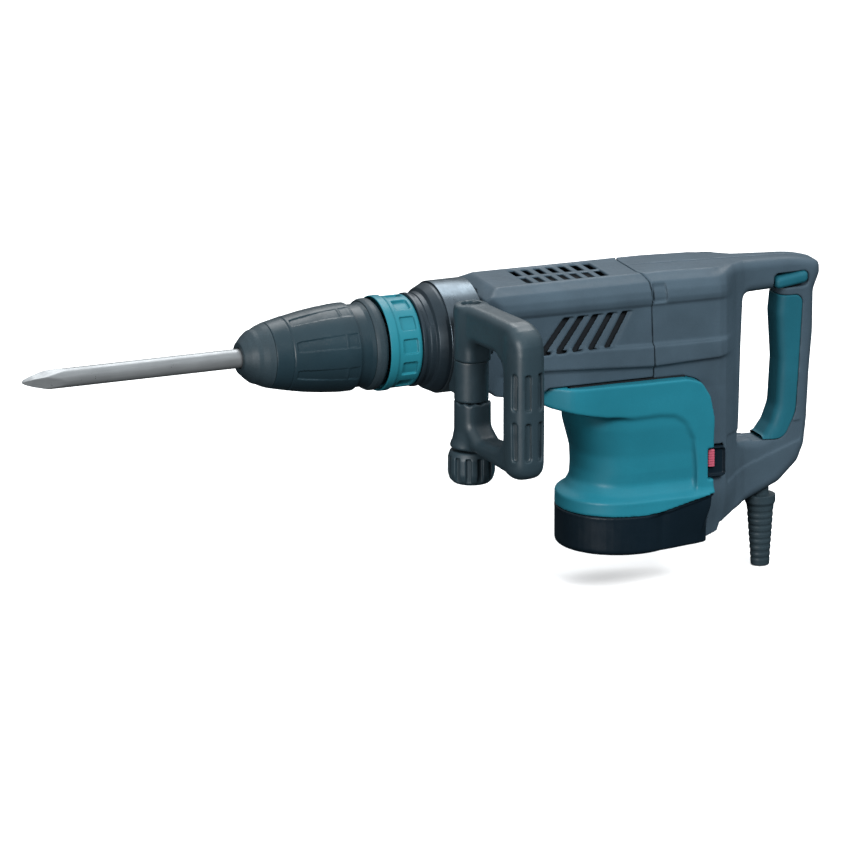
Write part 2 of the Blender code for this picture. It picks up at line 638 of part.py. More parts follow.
def rear_fittings(teal, plastic, red, rubber):
    """Soft grip, switch, lamp, controller and what holds the cord."""
    grip = [(183.9, 17.5, 0), (166, 17.5, 8), (158, 8, 10), (158, -8, 10), (166, -17.5, 8), (183.9, -17.5, 0),
            (183.9, -11.4, 0), (169.8, -11.4, 0), (169.8, 11.4, 0), (183.9, 11.4, 0)]
    plate("handle_grip", [filleted(grip)], 90.4 * MM, 217 * MM, teal)
    box("switch_lever", (152, -21.5, 229.2), (185, 18.5, 242.8), teal, 2 * MM)
    box("switch_module", (112, -12, 234), (148, 12, 248), plastic)
    box("controller", (86, -28, 70), (102, 28, 150), plastic)
    holder = box("lamp_holder", (69.3, -50.5, 64.7), (89, -40, 93.3), plastic)
    cut(holder, box("lamp_recess", (70.3, -60, 65.7), (88, -46.5, 92.3)))
    box("indicator_lens", (70.8, -49.5, 74.5), (77.5, -46.8, 91.5), red, 1 * MM)
    guard = guard_profile() + [(4.6 * MM, -39 * MM), (4.6 * MM, 52 * MM)]
    turned("cord_guard", guard, rubber, centre=(GUARD_X, 0, 0), steps=20)
    box("cord_clamp", (133, -9, 53), (157, 9, 60), plastic)


# Side handle

def side_handle(plastic, metal):
    """Band round the barrel with its knuckle, and the D-handle that pivots on the clamp bolt."""
    centre = HAMMER_Z / MM
    band = tube("clamp_band", 52.2 * MM, 50.8 * MM, -187 * MM, -152 * MM, metal, "X", HAMMER, 40)
    x, y = BOLT_X / MM, BOLT_Y / MM
    knuckle = rod("knuckle_block", KNUCKLE_R, 172.3 * MM, 210.7 * MM, centre=(BOLT_X, BOLT_Y, 0), steps=24)
    lug = box("band_lug", (x - 9, y, centre - 42), (x + 9, -40, centre - 5))
    inside = rod("inside_band", 50.8 * MM, -220 * MM, -130 * MM, None, "X", HAMMER, 40)
    cut(join(band, knuckle, lug), inside, rod("band_bore", 5.4 * MM, 0, 0.3, centre=(BOLT_X, BOLT_Y, 0)))
    outer = [(16, 246, 10), (-14, 265, 20), (-109, 264, 24), (-109, 118, 14), (-40, 127.3, 0), (16, 127.3, 6)]
    hole = [(-17, 230, 10), (-72, 226, 16), (-72, 147, 16), (-17, 142, 10)]
    outlines = [filleted(outer, 4), filleted(hole, 4)]
    loop = plate("side_handle", outlines, -13 * MM, 13 * MM, plastic, "X", 6 * MM)
    local = Matrix.Translation((BOLT_X, BOLT_Y, 0)) @ Matrix.Rotation(HANDLE_TURN, 4, "Z")
    loop.matrix_world = local @ loop.matrix_world
    grip = rod("grip_swell", 18 * MM, 125 * MM, 255 * MM, steps=24)
    grip.matrix_world = local @ Matrix.Translation((0, -HANDLE_REACH, 0))
    upper = rod("upper_knuckle", KNUCKLE_R, 211.3 * MM, 262 * MM, centre=(BOLT_X, BOLT_Y, 0), steps=24)
    lower = rod("lower_knuckle", KNUCKLE_R, 127.3 * MM, 171.7 * MM, centre=(BOLT_X, BOLT_Y, 0), steps=24)
    room = box("knuckle_room", (-20, -19, 171.7), (20, 30, 211.3))
    room.matrix_world = local @ room.matrix_world
    bore = turned("bolt_bore", [(0, 0.3), (9.4 * MM, 0.3), (9.4 * MM, 0.254), (5.4 * MM, 0.254),
                                (5.4 * MM, 0), (0, 0)], centre=(BOLT_X, BOLT_Y, 0))
    cut(join(loop, grip, upper, lower), room, bore)
    bolt = [(0, 0.261), (9 * MM, 0.261), (9 * MM, 0.2545), (5 * MM, 0.2545), (5 * MM, 0.1), (0, 0.1)]
    turned("clamp_bolt", bolt, metal, centre=(BOLT_X, BOLT_Y, 0), steps=SMALL_ROUND)
    nut = [(22, 125), (22, 100), (18, 94), (5.4, 94), (5.4, 125)]
    knob = turned("clamp_nut", [(radius * MM, z * MM) for radius, z in nut], plastic,
                  centre=(BOLT_X, BOLT_Y, 0), steps=24)
    cut(knob, ring_of_boxes("nut_flutes", 10, (6, 6, 24), 23.4, centre=(BOLT_X, BOLT_Y, 108 * MM)))


def screws(steel):
    """Four screws up through the end cover into the motor housing."""
    for i, (x, y) in enumerate(END_SCREWS):
        turned("end_cover_screw_" + str(i + 1), screw_outline(0, 3.4, 51), steel, centre=(x * MM, y * MM, 0),
               steps=SMALL_ROUND)


def build():
    clear_scene()
    black = material("dark_casing", (0.045, 0.07, 0.09), 0.5)
    teal = material("teal_casing", (0.014, 0.2, 0.27), 0.42)
    soft_black = material("black_rubber", (0.02, 0.03, 0.035), 0.75)
    soft_teal = material("teal_rubber", (0.014, 0.18, 0.24), 0.65)
    bright = material("bright_steel", (0.5, 0.52, 0.53), 0.35, 1.0)
    dark_steel = material("dark_steel", (0.12, 0.14, 0.16), 0.3, 1.0)
    dark_alloy = material("dark_alloy", (0.12, 0.14, 0.16), 0.32, 0.9)
    casting = material("cast_aluminium", (0.45, 0.46, 0.47), 0.55, 1.0)
    copper = material("copper", (0.6, 0.3, 0.15), 0.35, 1.0)
    iron = material("laminated_iron", (0.18, 0.18, 0.19), 0.55, 1.0)
    carbon = material("carbon", (0.02, 0.02, 0.02), 0.7)
    brass = material("bronze", (0.5, 0.35, 0.14), 0.4, 1.0)
    red = material("red_lens", (0.35, 0.05, 0.07), 0.2)

    chisel(bright)
    nose_cap(soft_black)
    release_cover(black)
    lock_parts(bright)
    tool_holder(bright)
    coil("release_spring", 25 * MM, 1.2 * MM, -303 * MM, -277 * MM, 3, bright)
    chuck_rings(black, soft_black, teal)
    barrel(dark_alloy)
    hammer_parts(bright, brass)
    crank_parts(bright)
    castings(casting)
    motor_parts(bright, copper, black, iron, carbon)
    front_cover(black)
    motor_housing(teal)
    motor_end_cover(black)
    rear_housing(black)
    rear_fittings(soft_teal, black, red, soft_black)
    side_handle(black, dark_steel)
    screws(bright)
    for thing in bpy.data.collections[PARTS].objects:
        if thing.type == "MESH":
            smooth(thing)


build()
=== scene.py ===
"""Looks of the electric demolition hammer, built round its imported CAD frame.

Shapes are in millimetres of the row frame until they become meshes. Casings are signed distance fields,
negative inside, sampled on a grid and meshed; turned pieces are lathed from their outlines.
"""

import math

import bmesh
import bpy
import numpy as np
from mathutils import Matrix, Vector


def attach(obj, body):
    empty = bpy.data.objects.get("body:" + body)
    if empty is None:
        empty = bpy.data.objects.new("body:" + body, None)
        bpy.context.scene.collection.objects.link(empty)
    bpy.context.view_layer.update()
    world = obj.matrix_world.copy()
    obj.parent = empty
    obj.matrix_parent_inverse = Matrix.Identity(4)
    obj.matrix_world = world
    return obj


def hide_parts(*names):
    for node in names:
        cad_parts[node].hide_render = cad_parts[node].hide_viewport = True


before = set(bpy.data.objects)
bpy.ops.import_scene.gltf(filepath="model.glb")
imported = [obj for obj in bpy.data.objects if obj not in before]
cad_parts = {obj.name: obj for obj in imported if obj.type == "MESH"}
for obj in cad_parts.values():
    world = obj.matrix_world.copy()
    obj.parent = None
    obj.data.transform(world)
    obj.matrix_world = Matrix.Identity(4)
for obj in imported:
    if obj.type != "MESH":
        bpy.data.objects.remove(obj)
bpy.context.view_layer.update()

MM = 0.001
HAMMER_Z = 215.0                    # height of the hammer's axis
SEAM_GAP = 0.25                     # from the seam to each of the two casings
BOLT = (-176.5, -71.0)              # x, y of the side handle's clamp bolt
HANDLE_TURN = math.radians(8.8)     # of the side handle about that bolt, at rest
GUARD_X = 145.0                     # x of the cord guard's axis
WALL = 3.2                          # of the moulded casings
LOUVRE_LOW, LOUVRE_HIGH = 199.5, 231.5
FLOOR_HALF, FLOOR_Z = 7.0, -0.0395  # metres; just under the cord guard
GRIP_ALONG = -91                    # from the clamp bolt to the axis of the side handle's grip
LAMP_RECESS = (60, -60, 64.2), (89.6, -38.5, 93.8)
PHOTO_AZIMUTH, PHOTO_ELEVATION = -23, 15.5
PHOTO_WIDTH = 0.785                 # metres across the picture, at the aim point
LENS, SENSOR = 1200, 36


# Outlines and distance fields

def filleted(corners, steps=5):
    """Points of an outline from (u, v, radius) corners, each corner turned into an arc."""
    outline = []
    for i, corner in enumerate(corners):
        here, radius = Vector(corner[:2]), corner[2] if len(corner) > 2 else 0
        if radius == 0:
            outline.append(here)
            continue
        back = (Vector(corners[i - 1][:2]) - here).normalized()
        ahead = (Vector(corners[(i + 1) % len(corners)][:2]) - here).normalized()
        half = back.angle(ahead) / 2
        if half > 1.56:
            outline.append(here)
            continue
        centre = here + (back + ahead).normalized() * (radius / math.sin(half))
        start = here + back * (radius / math.tan(half)) - centre
        end = here + ahead * (radius / math.tan(half)) - centre
        sweep = start.angle_signed(end)
        for step in range(steps + 1):
            outline.append(centre + Matrix.Rotation(-sweep * step / steps, 2) @ start)
    return np.array(outline, float)


class Outline:
    """Signed distance to a closed outline, looked up in a table."""

    STEP = 0.4

    def __init__(self, corners, margin=24):
        points = filleted(corners)
        self.low = points.min(0) - margin
        size = np.ceil((points.max(0) + margin - self.low) / self.STEP).astype(int)
        u = (self.low[0] + self.STEP * np.arange(size[0]))[:, None]
        v = (self.low[1] + self.STEP * np.arange(size[1]))[None, :]
        nearest = np.full((size[0], size[1]), 1e9)
        inside = np.zeros(nearest.shape, bool)
        for (u1, v1), (u2, v2) in zip(np.roll(points, 1, axis=0), points):
            du, dv = u2 - u1, v2 - v1
            length = du * du + dv * dv
            if length == 0:
                continue
            share = np.clip(((u - u1) * du + (v - v1) * dv) / length, 0, 1)
            nearest = np.minimum(nearest, (u - u1 - du * share) ** 2 + (v - v1 - dv * share) ** 2)
            if dv:
                inside ^= ((v1 <= v) != (v2 <= v)) & (u < u1 + (v - v1) / dv * du)
        self.table = (np.where(inside, -1, 1) * np.sqrt(nearest)).astype(np.float32)

    def at(self, u, v):
        """Distances at points of the outline's plane, between the table's entries."""
        u, v = np.broadcast_arrays(u, v)
        across = np.clip((u - self.low[0]) / self.STEP, 0, self.table.shape[0] - 1.001)
        along = np.clip((v - self.low[1]) / self.STEP, 0, self.table.shape[1] - 1.001)
        i, j = across.astype(np.int32), along.astype(np.int32)
        s, t = (across - i).astype(np.float32), (along - j).astype(np.float32)
        table = self.table
        near = table[i, j] * (1 - s) + table[i + 1, j] * s
        far = table[i, j + 1] * (1 - s) + table[i + 1, j + 1] * s
        return near * (1 - t) + far * t


def grid(low, high, cell):
    """Sample positions along x, y and z, shaped so that they broadcast into a block."""
    axes = [np.arange(a, b + cell, cell, dtype=np.float32) for a, b in zip(low, high)]
    x, y, z = axes[0][:, None, None], axes[1][None, :, None], axes[2][None, None, :]
    return x, y, z


def both(a, b, radius=0.0):
    """Where two shapes overlap, with the edge between them rounded."""
    if np.isscalar(radius) and radius == 0:
        return np.maximum(a, b)
    outer = np.hypot(np.maximum(a + radius, 0), np.maximum(b + radius, 0))
    return np.minimum(np.maximum(a, b), -radius) + outer


def either(a, b, radius=0.0):
    """Two shapes joined, with a fillet between them."""
    if np.isscalar(radius) and radius == 0:
        return np.minimum(a, b)
    inner = np.hypot(np.maximum(radius - a, 0), np.maximum(radius - b, 0))
    return np.maximum(np.minimum(a, b), radius) - inner


def less(a, b, radius=0.0):
    """The first shape without the second."""
    return both(a, -b, radius)


def block(x, y, z, low, high, radius=0.0):
    """Distance to a box with rounded edges."""
    parts = []
    for value, a, b in zip((x, y, z), low, high):
        parts.append(np.abs(value - (a + b) / 2) - (b - a) / 2 + radius)
    outside = np.sqrt(sum(np.maximum(part, 0) ** 2 for part in parts))
    return outside + np.minimum(np.maximum(np.maximum(parts[0], parts[1]), parts[2]), 0) - radius


def ease(value, start, end):
    """0 before start, 1 after end and a smooth rise between them."""
    share = np.clip((value - start) / (end - start), 0, 1)
    return share * share * (3 - 2 * share)


def around(y, z):
    """Radius from the hammer's axis, and angle round it from the side handle's side."""
    return np.hypot(y, z - HAMMER_Z), np.arctan2(z - HAMMER_Z, -y)


def off_spoke(angle, r, count, first=0.0):
    """Distance round an axis from the nearest of evenly spread features, the first at first degrees."""
    step = 2 * math.pi / count
    return ((angle - math.radians(first) + step / 2) % step - step / 2) * r


def surface(field, axes):
    """Vertices and quads of a sampled field's zero surface, one vertex in each cell that it crosses."""
    low = np.array([axis.ravel()[0] for axis in axes])
    cell = float(axes[0].ravel()[1] - axes[0].ravel()[0])
    cells = np.array(field.shape) - 1
    inside = field < 0
    quads, points = [], []
    for axis in range(3):
        u, v = (axis + 1) % 3, (axis + 2) % 3
        near, far = [slice(None)] * 3, [slice(None)] * 3
        near[axis], far[axis] = slice(0, -1), slice(1, None)
        near, far = tuple(near), tuple(far)
        edge = np.argwhere(inside[near] != inside[far])
        edge = edge[(edge[:, u] > 0) & (edge[:, u] < cells[u]) & (edge[:, v] > 0) & (edge[:, v] < cells[v])]
        first, second = field[near][tuple(edge.T)], field[far][tuple(edge.T)]
        point = edge.astype(float)
        point[:, axis] += first / (first - second)
        corners = []
        for du, dv in ((-1, -1), (0, -1), (0, 0), (-1, 0)):
            corner = edge.copy()
            corner[:, u] += du
            corner[:, v] += dv
            corners.append(np.ravel_multi_index(corner.T, cells))
        quad = np.stack(corners, 1)
        flipped = second < 0
        quad[flipped] = quad[flipped][:, ::-1]
        quads.append(quad)
        points.append(np.repeat(point, 4, axis=0))
    quads, points = np.concatenate(quads), np.concatenate(points)
    _, place = np.unique(quads.ravel(), return_inverse=True)
    count = np.bincount(place)
    centre = np.stack([np.bincount(place, points[:, i]) / count for i in range(3)], 1)
    return centre * cell + low, place.reshape(-1, 4)


# Pieces

LOOKS = {}


def piece(name, points, faces, look, body, nodes):
    """A mesh from points in millimetres that rides on a body and stands for CAD nodes."""
    mesh = bpy.data.meshes.new(name)
    mesh.from_pydata((np.asarray(points, float) * MM).tolist(), [], np.asarray(faces).tolist())
    mesh.validate()
    mesh.materials.append(LOOKS[look])
    mesh.shade_smooth()
    made = bpy.data.objects.new(name, mesh)
    bpy.context.scene.collection.objects.link(made)
    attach(made, body)
    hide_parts(*nodes)
    return made


def sculpted(name, field, axes, look, body, nodes):
    """A piece from a sampled distance field."""
    points, faces = surface(field, axes)
    return piece(name, points, faces, look, body, nodes)


def refined(points, step):
    """An outline with extra points, so that none are further apart than step."""
    full = []
    for start, end in zip(points, np.roll(points, -1, axis=0)):
        count = max(1, int(np.linalg.norm(end - start) / step))
        for i in range(count):
            full.append(start + (end - start) * i / count)
    return np.array(full)


def lathed(name, corners, look, body, nodes, axis="X", centre=(0, 0, HAMMER_Z), sides=96, step=400,
           shape=None):
    """A closed outline of (along, radius, fillet) corners turned about an axis; shape changes its radii."""
    outline = refined(filleted(corners, 4), step)
    angle = 2 * math.pi * np.arange(sides) / sides
    along = np.repeat(outline[:, :1], sides, axis=1)
    radius = np.repeat(outline[:, 1:], sides, axis=1)
    if shape:
        radius = shape(along, radius, angle[None, :])
    cosine, sine = radius * np.cos(angle), radius * np.sin(angle)
    if axis == "X":
        points = np.stack((along, cosine, sine), -1)
    else:
        points = np.stack((cosine, sine, along), -1)
    points = points.reshape(-1, 3) + np.array(centre)
    rows = len(outline)
    i, j = np.meshgrid(np.arange(rows), np.arange(sides), indexing="ij")
    after, beside = (i + 1) % rows, (j + 1) % sides
    faces = np.stack((i * sides + j, after * sides + j, after * sides + beside, i * sides + beside), -1)
    made = piece(name, points, faces.reshape(-1, 4), look, body, nodes)
    mesh = bmesh.new()
    mesh.from_mesh(made.data)
    bmesh.ops.remove_doubles(mesh, verts=mesh.verts, dist=1e-6)
    bmesh.ops.dissolve_degenerate(mesh, edges=mesh.edges, dist=1e-7)
    bmesh.ops.recalc_face_normals(mesh, faces=mesh.faces)
    mesh.to_mesh(made.data)
    mesh.free()
    made.data.set_sharp_from_angle(angle=math.radians(38))
    return made


# Materials

def node(tree, kind, **values):
    """A new node, with values for its inputs or its own settings."""
    made = tree.nodes.new(kind)
    for key, value in values.items():
        if key in made.inputs:
            made.inputs[key].default_value = value
        else:
            setattr(made, key, value)
    return made


def ranged(tree, source, low, high, to_low, to_high):
    """A value carried from one range to another."""
    made = node(tree, "ShaderNodeMapRange",
                **{"From Min": low, "From Max": high, "To Min": to_low, "To Max": to_high})
    tree.links.new(source, made.inputs["Value"])
    return made.outputs["Result"]


def ramp(tree, source, low, dark, high, light):
    """A colour that runs from dark where the value is low to light where it is high."""
    made = node(tree, "ShaderNodeValToRGB")
    first, last = made.color_ramp.elements
    first.position, first.color = low, (*dark, 1)
    last.position, last.color = high, (*light, 1)
    tree.links.new(source, made.inputs["Fac"])
    return made.outputs["Color"]


def finish_look(name, colour, roughness, metallic=0.0, grain=1400.0, grain_depth=0.00006, mottle=0.12,
                rough_spread=0.1, specular=0.5, brushed=None, coat=0.0, wear=0.25, glow=0.0):
    """A Principled material whose colour, roughness and bump vary by noise in the row frame."""
    look = bpy.data.materials.new(name)
    look.use_nodes = True
    tree = look.node_tree
    shader = tree.nodes["Principled BSDF"]
    shader.inputs["Metallic"].default_value = metallic
    shader.inputs["Specular IOR Level"].default_value = specular
    shader.inputs["Coat Weight"].default_value = coat
    shader.inputs["Coat Roughness"].default_value = 0.25
    shader.inputs["Emission Color"].default_value = (1, 1, 1, 1)
    shader.inputs["Emission Strength"].default_value = glow
    place = node(tree, "ShaderNodeTexCoord")
    link = tree.links.new
    source = place.outputs["Object"]
    if brushed:
        stretch = node(tree, "ShaderNodeMapping", vector_type="POINT")
        stretch.inputs["Scale"].default_value = brushed
        link(source, stretch.inputs["Vector"])
        fine_source = stretch.outputs["Vector"]
    else:
        fine_source = source
    broad = node(tree, "ShaderNodeTexNoise", Scale=22.0, Detail=4.0, Roughness=0.55)
    smudge = node(tree, "ShaderNodeTexNoise", Scale=95.0, Detail=6.0, Roughness=0.65)
    fine = node(tree, "ShaderNodeTexNoise", Scale=grain, Detail=2.0, Roughness=0.5)
    link(source, broad.inputs["Vector"])
    link(source, smudge.inputs["Vector"])
    link(fine_source, fine.inputs["Vector"])
    dark = [channel * (1 - mottle) for channel in colour]
    light = [min(1.0, channel * (1 + mottle)) for channel in colour]
    tint = ramp(tree, broad.outputs["Fac"], 0.3, dark, 0.7, light)
    speck = ranged(tree, fine.outputs["Fac"], 0.35, 0.7, 1 - mottle / 2, 1 + mottle / 2)
    shade = node(tree, "ShaderNodeMix", data_type="RGBA", blend_type="MULTIPLY")
    shade.inputs["Factor"].default_value = 1.0
    link(tint, shade.inputs[6])
    link(speck, shade.inputs[7])
    edge_tone = [min(1.0, channel * 1.6 + 0.02) for channel in colour]
    rubbed = node(tree, "ShaderNodeNewGeometry")
    edge = ranged(tree, rubbed.outputs["Pointiness"], 0.52, 0.62, 0.0, wear)
    patchy = node(tree, "ShaderNodeMath", operation="MULTIPLY")
    link(edge, patchy.inputs[0])
    link(smudge.outputs["Fac"], patchy.inputs[1])
    worn = node(tree, "ShaderNodeMix", data_type="RGBA")
    worn.inputs[7].default_value = (*edge_tone, 1)
    link(patchy.outputs["Value"], worn.inputs["Factor"])
    link(shade.outputs[2], worn.inputs[6])
    link(worn.outputs[2], shader.inputs["Base Color"])
    rough = ranged(tree, smudge.outputs["Fac"], 0.3, 0.75, max(0.04, roughness - rough_spread),
                   min(1.0, roughness + rough_spread))
    link(rough, shader.inputs["Roughness"])
    bump = node(tree, "ShaderNodeBump", Strength=0.5, Distance=grain_depth)
    link(fine.outputs["Fac"], bump.inputs["Height"])
    link(bump.outputs["Normal"], shader.inputs["Normal"])
    LOOKS[name] = look


def make_looks():
    """Every look: colour, roughness and metallic, then how its grain and tone vary."""
    finish_look("dark_casing", (0.043, 0.067, 0.088), 0.48, grain=1500, grain_depth=0.00009, specular=0.25)
    # Partly a darker plastic, partly painted shade: the dark casing made much darker for the low foot under
    # the motor and for the lamp's holder.
    finish_look("darker_plastic_and_painted_shade", (0.004, 0.009, 0.014), 0.42, grain=1500, grain_depth=0.00007, specular=0.22)
    finish_look("handle_casing", (0.021, 0.037, 0.047), 0.42, grain=1500, grain_depth=0.0001, specular=0.55)
    finish_look("chuck_casing", (0.011, 0.024, 0.032), 0.38, grain=1500, grain_depth=0.00006, specular=0.4)
    finish_look("teal_casing", (0.013, 0.138, 0.188), 0.4, grain=1100, grain_depth=0.00003, mottle=0.06,
                specular=0.28)
    finish_look("ring_casing", (0.014, 0.138, 0.178), 0.38, grain=1100, grain_depth=0.00003, mottle=0.06,
                specular=0.35)
    finish_look("black_rubber", (0.02, 0.033, 0.041), 0.5, grain=900, grain_depth=0.00012, mottle=0.2,
                specular=0.35)
    finish_look("teal_rubber", (0.011, 0.084, 0.116), 0.52, grain=1300, grain_depth=0.0001, mottle=0.1,
                specular=0.25)
    finish_look("bright_steel", (0.25, 0.265, 0.275), 0.36, 0.6, grain=500, grain_depth=0.000005, mottle=0.1,
                wear=0.0, brushed=(0.08, 1.0, 1.0))
    finish_look("dark_steel", (0.12, 0.152, 0.178), 0.34, 0.9, grain=700, grain_depth=0.00003, mottle=0.12,
                brushed=(1.0, 0.2, 0.2))
    finish_look("dark_alloy", (0.02, 0.032, 0.042), 0.36, 0.4, grain=600, grain_depth=0.00003, mottle=0.12)
    finish_look("cast_aluminium", (0.3, 0.31, 0.32), 0.58, 1.0, grain=450, grain_depth=0.0002, mottle=0.15)
    # Painted shade: a near-black look for the raw aluminium crankcase and bearing plate, which sit in shade
    # behind the louvres.
    finish_look("painted_shade_casting", (0.012, 0.015, 0.018), 0.7, 0.2, grain=450, grain_depth=0.0002, mottle=0.2,
                specular=0.2)
    finish_look("copper", (0.62, 0.3, 0.16), 0.3, 1.0, grain=600, brushed=(1.0, 1.0, 0.1))
    finish_look("laminated_iron", (0.16, 0.16, 0.17), 0.5, 1.0, grain=900, brushed=(0.05, 0.05, 3.0))
    finish_look("carbon", (0.02, 0.02, 0.021), 0.65, grain=800, mottle=0.25)
    finish_look("bronze", (0.5, 0.34, 0.13), 0.38, 1.0, grain=500)
    finish_look("red_lens", (0.36, 0.07, 0.11), 0.2, grain=300, grain_depth=0.00002, coat=0.5)
    finish_look("floor", (0.8, 0.805, 0.81), 0.8, grain=60, grain_depth=0.0, mottle=0.006, wear=0.0,
                specular=0.1, glow=0.35)


# Chuck, turned pieces

def chisel_shape(along, radius, angle):
    """Four ground faces at the point, and the two lock recesses near the tail."""
    half = np.interp(along, (-594, -592, -584, -568, -548), (0.8, 1.9, 4.1, 7.2, 9.6))
    corner = (angle - math.radians(58.5)) % (math.pi / 2) - math.pi / 4
    shaped = np.minimum(radius, half / np.cos(corner))
    across, up = np.abs(radius * np.cos(angle)), np.abs(np.sin(angle)) + 1e-6
    recess = (along > -352.6) & (along < -316.4) & (across < 3.6)
    return np.where(recess, np.minimum(shaped, 6.3 / up), shaped)


def chisel():
    """The bull point, from its tip to the tail in the chuck."""
    corners = [(-594, 0), (-594, 9), (-291, 9), (-289, 8), (-289, 0)]
    lathed("bull_point", corners, "bright_steel", "chisel", ["chisel"], sides=64, step=1.5,
           shape=chisel_shape)


def nose_cap():
    """The rubber cap that keeps dust out of the chuck."""
    corners = [(-353.1, 30.3), (-358.5, 28.4, 8), (-364, 25.7, 5), (-368, 24.6, 6), (-373, 20.6, 5),
               (-376, 17.6, 3), (-379, 14.6, 2.5), (-379, 9.7, 1), (-373, 9.7), (-371.3, 17.4),
               (-353.1, 17.4)]
    lathed("dust_cap", corners, "black_rubber", "tool_holder", ["nose_cap"], step=1.5)


def release_cover():
    """The sliding sleeve of the chuck, with eight long grooves that end in a small window."""
    axes = grid((-355, -44, 171), (-269.5, 44, 259), 0.7)
    x, y, z = axes
    r, angle = around(y, z)
    outer = [(-272, 39.3), (-272, 41.0, 1.2), (-277, 41.4), (-285, 41.0), (-301, 39.7), (-318, 37.5),
             (-334, 34.5), (-345, 32.1), (-352.7, 30.4, 0.6), (-352.7, 24.4), (-338, 24.4),
             (-338, 28.5), (-318, 33.8), (-300, 37.3), (-293, 38.7)]
    body = Outline(outer).at(x, r)
    across = off_spoke(angle, r, 8, 22.5)
    half_width = np.interp(x, (-333, -327, -276), (4.2, 5.0, 6.8))
    groove = both(np.abs(across) - half_width, np.abs(x + 303.5) - 29.5, 1.0)
    outer_r = np.interp(x, (-345, -334, -318, -301, -285, -277, -272),
                        (32.1, 34.5, 37.5, 39.7, 41.0, 41.4, 41.0))
    depth = np.interp(x, (-318, -302), (1.2, 0.55)).astype(np.float32)
    window = both(np.abs(across) - half_width + 1.2, np.abs(x + 280.4) - 3.4, 0.8)
    deep = both(window, outer_r - 0.8 - r)
    line = both(np.abs(x + 336.4) - 0.5, outer_r - 0.7 - r)
    bridge = both(groove, np.abs(x + 285.6) - 0.8)
    cuts = either(less(both(groove, outer_r - depth - r), bridge), either(deep, line))
    body = less(body, cuts)
    sculpted("chuck_sleeve", body, axes, "chuck_casing", "release_cover", ["release_cover"])


def neck():
    """The neck between the chuck and the change ring, with its seal."""
    sleeve = [(-246, 22.3), (-246, 40), (-257.6, 40, 2), (-261, 38.5, 2), (-280, 38.4, 0.5), (-280, 34),
              (-262, 34), (-250, 22.3)]
    lathed("neck_sleeve_shell", sleeve, "chuck_casing", "tool_holder", ["neck_sleeve"])
    bead = [(-248, 40.2), (-248, 42, 0.8), (-250.2, 42.7, 1.5), (-254.2, 42.7, 2), (-257.4, 41.2, 1),
            (-257.4, 40.2)]
    lathed("neck_seal", bead, "black_rubber", "tool_holder", ["neck_bead"])


def change_ring():
    """The ring that sets the chisel's angle, with twelve finger pockets."""
    axes = grid((-247, -47, 168), (-210.5, 47, 262), 0.75)
    x, y, z = axes
    r, angle = around(y, z)
    outline = [(-245, 43.1), (-245, 44.3, 0.5), (-243.4, 44.4, 0.8), (-237.2, 44.4, 1.2),
               (-235.4, 42.8, 1.0), (-214.2, 42.6, 1.2), (-212.3, 41.2, 0.8), (-212.3, 28.6),
               (-237, 28.6), (-237, 43.1)]
    body = Outline(outline).at(x, r)
    across = off_spoke(angle, r, 12, 7)
    pocket = both(np.abs(across) - 6.8, np.abs(x + 224.2) - 7.2, 1.6)
    body = less(body, both(pocket, 40.2 - r, 0.4), 0.5)
    sculpted("angle_ring", body, axes, "ring_casing", "change_ring", ["change_ring"])


def barrel():
    """The round neck of the hammer, stepped down towards the change ring."""
    outline = [(-105, 41.2, 0.5), (-150.5, 41.2), (-150.5, 50.2, 0.8), (-190, 50.4, 2), (-197.4, 46.9, 1.5),
               (-199, 43.5, 0.6), (-203.4, 43.2, 0.3), (-204.2, 42.2, 0.3), (-207.5, 42.2, 0.3),
               (-208.3, 43.6, 0.5), (-211.5, 43.6, 0.8), (-211.5, 28.7), (-206, 28.7), (-206, 36.3),
               (-184, 36.3), (-178, 24.4), (-165, 24.4), (-160, 37), (-105, 37)]
    lathed("hammer_barrel", outline, "dark_alloy", "hammer_body", ["barrel"], sides=128)


# Casings

# Half of the casing's section at its front, as (half width, height): ridge, panel, belt and underside.
RIDGE = [(-30, 264.4), (30, 264.0, 3), (34.5, 261.2, 4), (41.5, 257.2, 5), (46.6, 250, 5), (48.2, 243, 4),
         (47.2, 238, 2), (45.2, 234.6, 1.2), (45, 201.5, 1), (48.8, 199.2, 1), (49, 180.6, 0.8),
         (46.8, 179, 0.6), (45.2, 176.5, 0.8), (42.4, 150), (42.4, 0), (-30, 0)]


def section_height(x, z):
    """Height in RIDGE for a height on the casing, whose lines drop and draw in to the rear."""
    stations = x.ravel()
    heights = z.ravel()
    top = np.interp(stations, (-149, 35, 200), (264.4, 262.6, 255.4))
    shadow = 234.6 - 0.012 * (stations + 60)
    belt_top = np.interp(stations, (-149, -79, 15, 95), (203, 200.6, 196.5, 195))
    belt_low = np.interp(stations, (-149, -79, 15, 82, 110), (187.5, 183.8, 177.6, 179.6, 181))
    table = np.empty((len(stations), len(heights)), np.float32)
    for i in range(len(stations)):
        actual = (0, 150, belt_low[i], belt_top[i], shadow[i], top[i], top[i] + 50)
        table[i] = np.interp(heights, actual, (0, 150, 180.6, 199.8, 234.6, 264.4, 314.4))
    return table[:, None, :]


def seam_x(y, z):
    """Where the front cover meets the rear housing."""
    return 9 + 6.3 * ease(np.abs(y), 20, 42) + 2.7 * np.clip((247 - z) / 77, 0, 1)


